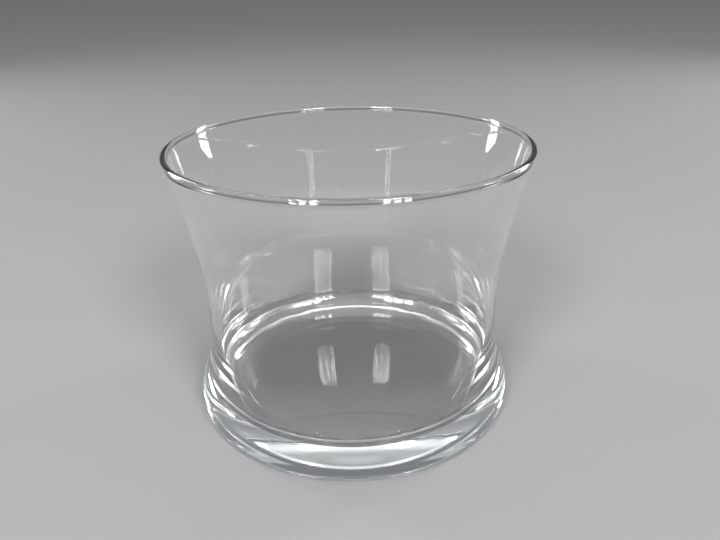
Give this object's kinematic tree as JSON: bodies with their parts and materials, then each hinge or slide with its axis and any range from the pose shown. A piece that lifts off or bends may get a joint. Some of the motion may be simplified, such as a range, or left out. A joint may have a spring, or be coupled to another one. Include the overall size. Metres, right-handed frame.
{
  "type": "glass bowl",
  "caption": "Wide clear glass bowl with a thick flat base, a swelling foot, a narrow waist and a flared, fire-polished rim.",
  "frame": {"origin": "centre of the flat underside, on the surface the bowl stands on", "axes": "+Z is the axis of revolution, up out of the mouth; the bowl is round, so X and Y are any two directions at right angles"},
  "size_m": [0.19, 0.19, 0.15],
  "materials": {
    "clear_glass": "fire-polished clear soda-lime glass"
  },
  "bodies": {
    "root": {"rim_bead": "clear_glass", "flared_wall": "clear_glass", "waist_wall": "clear_glass", "foot_ring": "clear_glass", "solid_base": "clear_glass"}
  },
  "joints": []
}
